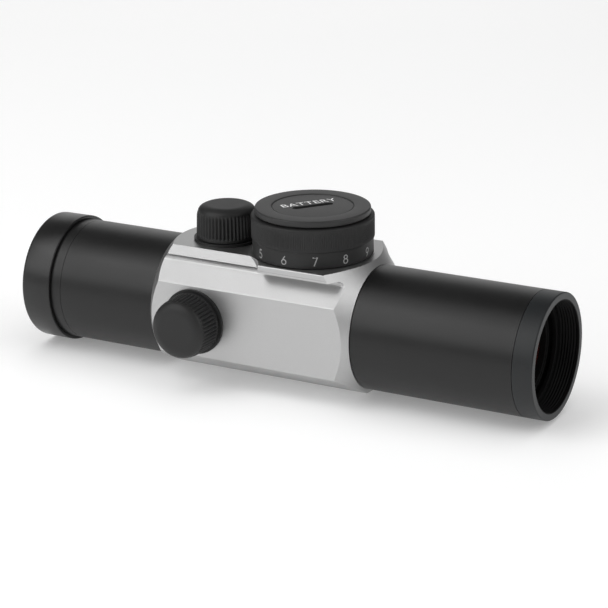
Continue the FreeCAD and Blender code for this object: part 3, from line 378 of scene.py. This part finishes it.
def divide(points, longest, closed):
    """Add points so that no stretch of the outline is longer than asked."""
    result = []
    count = len(points)
    for index, point in enumerate(points):
        result.append(point)
        if not closed and index == count - 1:
            break
        following = points[(index + 1) % count]
        pieces = int((following - point).length // longest)
        for step in range(1, pieces + 1):
            result.append(point.lerp(following, step / (pieces + 1)))
    return result


def mesh_piece(name, points, faces, material, body, smooth=35):
    """A mesh in the row frame that rides on a CAD body."""
    mesh = bpy.data.meshes.new(name)
    mesh.from_pydata([tuple(point) for point in points], [], faces)
    mesh.validate()
    mesh.update()
    mesh.shade_smooth()
    mesh.set_sharp_from_angle(angle=math.radians(smooth))
    piece = bpy.data.objects.new(name, mesh)
    bpy.context.scene.collection.objects.link(piece)
    paint(piece, material)
    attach(piece, body)
    return piece


def turned(name, corners, where, material, body, closed=True, steps=180, shape=None,
           longest=None):
    """Turn an outline of (radius, height) corners, in millimetres, about its axis.

    shape(angle, radius, height) may return a changed radius and height, for ribs and threads.
    An outline that isn't closed starts and ends on the axis.
    """
    outline = soften(corners, closed)
    if longest:
        outline = divide(outline, longest, closed)
    points = []
    first = []
    for point in outline:
        on_axis = point.x < 1e-6
        first.append((len(points), on_axis))
        for step in range(1 if on_axis else steps):
            angle = TAU * step / steps
            radius, height = point.x, point.y
            if shape and not on_axis:
                radius, height = shape(angle, radius, height)
            spot = Vector((radius * math.cos(angle), radius * math.sin(angle), height))
            points.append(spot)
    matrix = Matrix.Scale(MM, 4) @ where
    points = [matrix @ point for point in points]
    faces = []
    rows = len(outline)
    for row in range(rows if closed else rows - 1):
        (one, one_pole), (two, two_pole) = first[row], first[(row + 1) % rows]
        if one_pole and two_pole:
            continue
        for step in range(steps):
            following = (step + 1) % steps
            if one_pole:
                faces.append((one, two + following, two + step))
            elif two_pole:
                faces.append((one + step, one + following, two))
            else:
                faces.append((one + step, one + following, two + following, two + step))
    return mesh_piece(name, points, faces, material, body)


# ------------------------------------------------------------------ pieces with fine detail

def build_objective_ring():
    """The front ring, with its real thread inside the rim."""
    pitch = 0.7
    depth = 0.28
    bore = 13.1
    floor = 5.2
    lip_end = 6.2
    lip_bore = 11.9
    socket = 12.95
    thread_start = 0.25
    thread_end = 4.9
    spigot = TUBE_R - 1.02
    end = -low("objective_ring").x

    def thread(angle, radius, height):
        inside = abs(radius - bore) < 0.01 and -thread_end < height < -thread_start
        if not inside:
            return radius, height
        turn = (height / pitch - angle / TAU) % 1.0
        rise = 1 - abs(turn * 2 - 1)
        fade = min(1.0, (-thread_start - height) / 0.35, (height + thread_end) / 0.5)
        return radius + depth * rise * max(0.0, fade), height

    piece = turned("objective_ring_detailed", [
        (bore, 0, 0.18), (TUBE_R, 0, 0.3), (TUBE_R, -RING_SEAM, 0.08),
        (spigot, -RING_SEAM), (spigot, -end), (socket, -end), (socket, -lip_end),
        (lip_bore, -lip_end, 0.1), (lip_bore, -floor, 0.15), (bore, -floor)], ALONG_TUBE,
        RING_BLACK, "frame", steps=256, shape=thread, longest=0.1)
    piece.data.materials.append(INSIDE_BLACK)
    for face in piece.data.polygons:
        if math.hypot(face.center.y, face.center.z) < (bore + depth) * MM:
            face.material_index = 1
    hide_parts("objective_ring")


def build_turret_cap(name, where, face, body):
    """A screw-on turret cap with a domed top and ribs round its side."""
    flange_top = face + 0.65
    cap_low = flange_top + 0.1
    top = face + CAP_TOP
    rib_low = face + 1.75
    rib_high = face + 6.9
    side = 7.43
    depth = 0.34
    bore = 5.68
    groove_in, groove_out, groove_top = 5.93, 6.93, cap_low + 0.6

    def ribs(angle, radius, height):
        if radius < 6.6 or not rib_low - 0.5 < height < rib_high + 0.6:
            return radius, height
        fade = min(1.0, (height - rib_low + 0.25) / 0.3, (rib_high + 0.5 - height) / 0.9)
        wave = 0.5 - 0.5 * math.cos(angle * CAP_RIBS)
        return radius - depth * max(0.0, fade) * wave ** 1.6, height

    piece = turned(name + "_detailed", [
        (0, top), (5.2, top, 1.2), (6.75, top - 0.75, 1.3), (7.28, top - 2.3, 0.6),
        (side, rib_low - 0.35, 0.1), (side, cap_low, 0.15), (groove_out, cap_low),
        (groove_out, groove_top), (groove_in, groove_top), (groove_in, cap_low), (bore, cap_low),
        (bore, top - 1.7), (0, top - 1.7)], where, CAP_BLACK, body,
        closed=False, steps=CAP_RIBS * 8, shape=ribs, longest=0.3)
    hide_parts(name)


def build_dial():
    """The brightness dial: a numbered band below a finely serrated grip."""
    grip_r = BAND_R + 0.26
    bottom, step, top = TOP + DIAL_GAP, 20.3, 25.9
    bore, pocket, hub = 12.9, 12.2, 3.05
    web_low, web_top = 19.2, 20.2

    def grip(angle, radius, height):
        if radius < 14.55 or not step + 0.2 < height < top - 0.3:
            return radius, height
        fade = min(1.0, (height - step - 0.2) / 0.3, (top - 0.3 - height) / 0.3)
        return radius - 0.11 * max(0.0, fade) * (0.5 - 0.5 * math.cos(angle * SERRATIONS)), height

    piece = turned("dial_detailed", [
        (bore, bottom), (BAND_R, bottom, 0.12), (BAND_R, step - 0.1, 0.08),
        (grip_r, step + 0.25, 0.15), (grip_r, top, 0.45), (pocket, top, 0.1), (pocket, web_top),
        (hub, web_top), (hub, web_low), (bore, web_low)], DIAL, DIAL_BLACK, "brightness_dial",
        steps=SERRATIONS * 4, shape=grip, longest=0.8)
    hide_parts("dial")


def arc(centre_x, centre_y, radius, start, end, tall=1.0):
    """Points on an arc, from one angle to another in degrees."""
    steps = max(4, int(abs(end - start) / 15))
    points = []
    for step in range(steps + 1):
        angle = math.radians(start + (end - start) * step / steps)
        points.append((centre_x + radius * math.cos(angle),
                       centre_y + radius * tall * math.sin(angle)))
    return points


# Each digit is drawn as pen strokes in a box 0.6 wide and 1 tall.
DIGITS = {
    "0": [arc(0.30, 0.50, 0.27, 0, 360, 1.85)],
    "1": [[(0.14, 0.80), (0.34, 1.0), (0.34, 0.0)]],
    "2": [arc(0.29, 0.72, 0.26, 170, -35, 1.08) + [(0.03, 0.0), (0.57, 0.0)]],
    "3": [arc(0.27, 0.76, 0.23, 150, -90), arc(0.27, 0.28, 0.27, 90, -150)],
    "4": [[(0.44, 0.0), (0.44, 1.0), (0.02, 0.30), (0.60, 0.30)]],
    "5": [[(0.52, 1.0), (0.17, 1.0), (0.11, 0.57)] + arc(0.27, 0.31, 0.29, 115, -140)],
    "6": [arc(0.30, 0.29, 0.28, 0, 360), [(0.46, 1.0), (0.07, 0.44)]],
    "7": [[(0.03, 1.0), (0.57, 1.0), (0.20, 0.0)]],
    "8": [arc(0.30, 0.77, 0.22, 0, 360), arc(0.30, 0.28, 0.27, 0, 360)],
    "9": [arc(0.30, 0.71, 0.28, 0, 360), [(0.14, 0.0), (0.53, 0.56)]],
}


def stroke_sides(points, half):
    """The two edges of a pen stroke drawn along a line of points."""
    spots = [Vector(point) for point in points]
    closed = (spots[0] - spots[-1]).length < 1e-6
    left, right = [], []
    for index, spot in enumerate(spots):
        before = spots[index - 1] if index else (spots[-2] if closed else spot)
        after = spots[index + 1] if index + 1 < len(spots) else (spots[1] if closed else spot)
        way_in = (spot - before).normalized() if (spot - before).length else None
        way_out = (after - spot).normalized() if (after - spot).length else None
        way_in = way_in or way_out
        way_out = way_out or way_in
        middle = (way_in + way_out).normalized()
        across = Vector((-middle.y, middle.x))
        stretch = 1 / max(0.45, across.dot(Vector((-way_in.y, way_in.x))))
        left.append(spot + across * half * stretch)
        right.append(spot - across * half * stretch)
    return left, right


def build_numbers():
    """Printed numbers 0 to 11 round the dial's lower band."""
    tall, pen, space = 2.05, 0.24, 0.25
    base = 17.2
    ink_r = BAND_R + INK_RISE
    points, faces = [], []
    for number in range(12):
        text = str(number)
        width = tall * 0.6 * len(text) + space * (len(text) - 1)
        middle = math.radians((number - 6) * 30 - 90)
        for place, digit in enumerate(text):
            shift = place * (tall * 0.6 + space) - width / 2
            for stroke in DIGITS[digit]:
                left, right = stroke_sides(stroke, pen / 2 / tall)
                first = len(points)
                for pair in zip(left, right):
                    for spot in pair:
                        angle = middle + (spot.x * tall + shift) / ink_r
                        points.append(DIAL @ Vector((ink_r * math.cos(angle),
                                                     ink_r * math.sin(angle),
                                                     base + spot.y * tall)) * MM)
                for step in range(len(left) - 1):
                    corner = first + step * 2
                    faces.append((corner + 1, corner + 3, corner + 2, corner))
    mesh_piece("dial_numbers", points, faces, INK, "brightness_dial")


def build_battery_cap():
    """The coin-slotted battery cap with a ring groove and a printed word."""
    radius, bottom, top = 13.86, 26.3, 27.78
    recess_r, recess = 9.7, top - 0.15
    skirt, hollow, skirt_low, roof = 12.1, 10.0, 24.2, 25.6
    slot_half, slot_width, slot_depth = 5.25, 0.9, 1.0
    slot_turn = math.radians(51.8)
    piece = turned("battery_cap_detailed", [
        (0, recess), (recess_r - 0.1, recess, 0.05), (recess_r, recess - 0.12, 0.03),
        (recess_r + 0.25, top, 0.12), (radius, top, 0.4), (radius, bottom, 0.2),
        (skirt, bottom), (skirt, skirt_low), (hollow, skirt_low), (hollow, roof), (0, roof)],
        DIAL, BATTERY_CAP_BLACK, "battery_cover", closed=False, steps=192)
    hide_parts("battery_cap")
    cutter_points = []
    outline = []
    for end in (1, -1):
        for step in range(9):
            angle = math.radians(-90 + 180 * step / 8)
            x = end * (slot_half - slot_width + slot_width * math.cos(angle))
            y = end * slot_width * math.sin(angle)
            outline.append((x, y))
    for height in (recess - slot_depth, top + 1):
        for x, y in outline:
            turned_x = x * math.cos(slot_turn) - y * math.sin(slot_turn)
            turned_y = x * math.sin(slot_turn) + y * math.cos(slot_turn)
            cutter_points.append(DIAL @ Vector((turned_x, turned_y, height)) * MM)
    count = len(outline)
    faces = [tuple(reversed(range(count))), tuple(range(count, count * 2))]
    faces += [(i, (i + 1) % count, (i + 1) % count + count, i + count) for i in range(count)]
    mesh = bpy.data.meshes.new("slot_cutter")
    mesh.from_pydata([tuple(point) for point in cutter_points], [], faces)
    cutter = bpy.data.objects.new("slot_cutter", mesh)
    bpy.context.scene.collection.objects.link(cutter)
    cut = piece.modifiers.new("slot", "BOOLEAN")
    cut.operation = "DIFFERENCE"
    cut.solver = "EXACT"
    cut.object = cutter
    apply_modifiers(piece)
    bpy.data.objects.remove(cutter)
    piece.data.shade_smooth()
    piece.data.set_sharp_from_angle(angle=math.radians(30))
    print_word("BATTERY", slot_turn, recess)


def apply_modifiers(piece):
    """Turn a piece's modifiers into plain mesh."""
    graph = bpy.context.evaluated_depsgraph_get()
    mesh = bpy.data.meshes.new_from_object(piece.evaluated_get(graph))
    piece.modifiers.clear()
    piece.data = mesh


def print_word(word, turn, height):
    """A plain printed word beside the coin slot."""
    curve = bpy.data.curves.new("cap_word", "FONT")
    curve.body = word
    curve.align_x = "CENTER"
    curve.align_y = "CENTER"
    curve.size = 3.3 * MM
    curve.space_character = 1.05
    source = bpy.data.objects.new("cap_word_source", curve)
    bpy.context.scene.collection.objects.link(source)
    graph = bpy.context.evaluated_depsgraph_get()
    mesh = bpy.data.meshes.new_from_object(source.evaluated_get(graph))
    bpy.data.objects.remove(source)
    place = (Matrix.Scale(MM, 4) @ DIAL @ Matrix.Rotation(turn, 4, "Z")
             @ Matrix.Translation((0, 2.6, height + 0.01)) @ Matrix.Scale(1 / MM, 4))
    mesh.transform(place)
    piece = bpy.data.objects.new("battery_cap_word", mesh)
    bpy.context.scene.collection.objects.link(piece)
    paint(piece, WHITE_INK)
    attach(piece, "battery_cover")


def build_rear_cap():
    """The slip-on rear cap, with softly rounded moulded edges."""
    mouth, floor, back = 129.63, 135.9, 137.83
    bore, back_r, mouth_r = 14.75, 15.79, 15.87
    piece = turned("rear_cap_detailed", [
        (0, -back), (back_r, -back, 0.75), (mouth_r, -mouth, 0.3), (bore, -mouth, 0.25),
        (bore, -floor), (0, -floor)], ALONG_TUBE, PLASTIC, "rear_cover",
        closed=False, steps=192)
    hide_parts("rear_cap")


def build_return_spring(turret, where):
    """The coil spring opposite a turret, built as a still coil on the frame; the real spring
    flattens as the carrier is pushed towards it.
    """
    wire, mean, turns = 0.2, 1.4, 5
    outer_end, inner_end = -SPRING_FOOT, -10.9
    sides, steps = 10, 28 * turns
    points, faces = [], []
    for step in range(steps + 1):
        share = step / steps
        climb = min(1.0, max(0.0, (share - 0.08) / 0.84))
        angle = TAU * turns * share
        height = outer_end + wire + (inner_end - outer_end - wire * 2) * climb
        for side in range(sides):
            around = TAU * side / sides
            radius = mean + wire * math.cos(around)
            points.append(where @ Vector((radius * math.cos(angle), radius * math.sin(angle),
                                          height + wire * math.sin(around))) * MM)
    for step in range(steps):
        for side in range(sides):
            one = step * sides + side
            two = step * sides + (side + 1) % sides
            faces.append((one, two, two + sides, one + sides))
    faces.append(tuple(reversed(range(sides))))
    faces.append(tuple(range(steps * sides, (steps + 1) * sides)))
    name = turret + "_return_spring"
    piece = mesh_piece(name + "_coil", points, faces, STEEL, "frame", smooth=60)
    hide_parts(name)
    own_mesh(piece)


def build_index_mark():
    """The painted line on the housing that the numbers are read against."""
    width, start, end = 0.35, 14.62, 15.3
    height = TOP + INK_RISE
    corners = [(DIAL_X - width / 2, start), (DIAL_X + width / 2, start),
               (DIAL_X + width / 2, end), (DIAL_X - width / 2, end)]
    points = [Vector((x, y, height)) * MM for x, y in corners]
    mesh_piece("index_mark", points, [(0, 1, 2, 3)], TUBE_BLACK, "frame")


# ------------------------------------------------------------------ studio

AIM = Vector((-66.0, 0.0, 2.6))                   # what the lights and the camera point at, mm
CAMERA_PLACE = Vector((188.06, -464.01, 182.96))  # mm
CAMERA_ROLL = -0.60                               # degrees
LENS_MM, SENSOR_MM = 137.1, 36.0
FLOOR_REACH = 4.0
WORLD_LIGHT = 0.14


def studio():
    """A plain pale floor, soft lights and the camera."""
    floor_mesh = bpy.data.meshes.new("floor")
    reach = FLOOR_REACH
    height = BOTTOM * MM
    floor_mesh.from_pydata([(-reach, -reach, height), (reach, -reach, height),
                            (reach, reach, height), (-reach, reach, height)], [], [(0, 1, 2, 3)])
    floor = bpy.data.objects.new("floor", floor_mesh)
    bpy.context.scene.collection.objects.link(floor)
    tree = Tree("floor_white", Specular_IOR_Level=0.0, Roughness=0.9, Emission_Strength=0.22)
    tree.shader.inputs["Emission Color"].default_value = grey(1.0)
    tree.colour(tree.blend(tree.noise(0.002), grey(0.82), grey(0.84)))
    paint(floor, tree.material)

    centre = AIM * MM
    soft_light("key_left", centre, (-0.455, -0.714, 0.532), 0.8, 0.62, 2.05)
    soft_light("upper_left", centre, (-0.455, -0.323, 0.829), 0.8, 0.4, 1.5)
    soft_light("back", centre, (-0.455, 0.829, 0.32), 0.8, 0.5, 0.75)
    soft_light("front_right", centre, (0.87, 0.0, 0.49), 0.8, 0.5, 1.9)
    overhead = soft_light("overhead", centre, (0.0, 0.0, 1.0), 1.6, 2.4, 1.05)
    overhead.visible_glossy = False

    world = bpy.data.worlds.new("studio")
    bpy.context.scene.world = world
    world.use_nodes = True
    background = world.node_tree.nodes["Background"]
    background.inputs[0].default_value = grey(1.0)
    background.inputs[1].default_value = WORLD_LIGHT

    camera_data = bpy.data.cameras.new("camera")
    camera_data.lens = LENS_MM
    camera_data.sensor_width = SENSOR_MM
    camera_data.clip_start = 0.01
    camera_data.clip_end = 20.0
    camera = bpy.data.objects.new("camera", camera_data)
    bpy.context.scene.collection.objects.link(camera)
    spot = CAMERA_PLACE * MM
    gaze = (centre - spot).to_track_quat("-Z", "Y").to_matrix().to_4x4()
    roll = Matrix.Rotation(math.radians(CAMERA_ROLL), 4, "Z")
    camera.matrix_world = Matrix.Translation(spot) @ gaze @ roll
    bpy.context.scene.camera = camera
    bpy.context.scene.view_settings.view_transform = "Standard"


def soft_light(name, centre, direction, distance, size, radiance):
    """A square softbox facing the sight, as bright as asked wherever it is seen from."""
    data = bpy.data.lights.new(name, "AREA")
    data.shape = "SQUARE"
    data.size = size
    data.energy = radiance * math.pi * size * size
    light = bpy.data.objects.new(name, data)
    bpy.context.scene.collection.objects.link(light)
    way = Vector(direction).normalized()
    light.matrix_world = (Matrix.Translation(centre + way * distance)
                          @ way.to_track_quat("Z", "Y").to_matrix().to_4x4())
    return light


paint_frame()
build_objective_ring()
build_turret_cap("elevation_cap", ELEVATION, TOP, "elevation_cover")
build_turret_cap("windage_cap", WINDAGE, SIDE, "windage_cover")
build_dial()
build_numbers()
build_battery_cap()
build_rear_cap()
build_index_mark()
build_return_spring("elevation", ELEVATION)
build_return_spring("windage", WINDAGE)
studio()
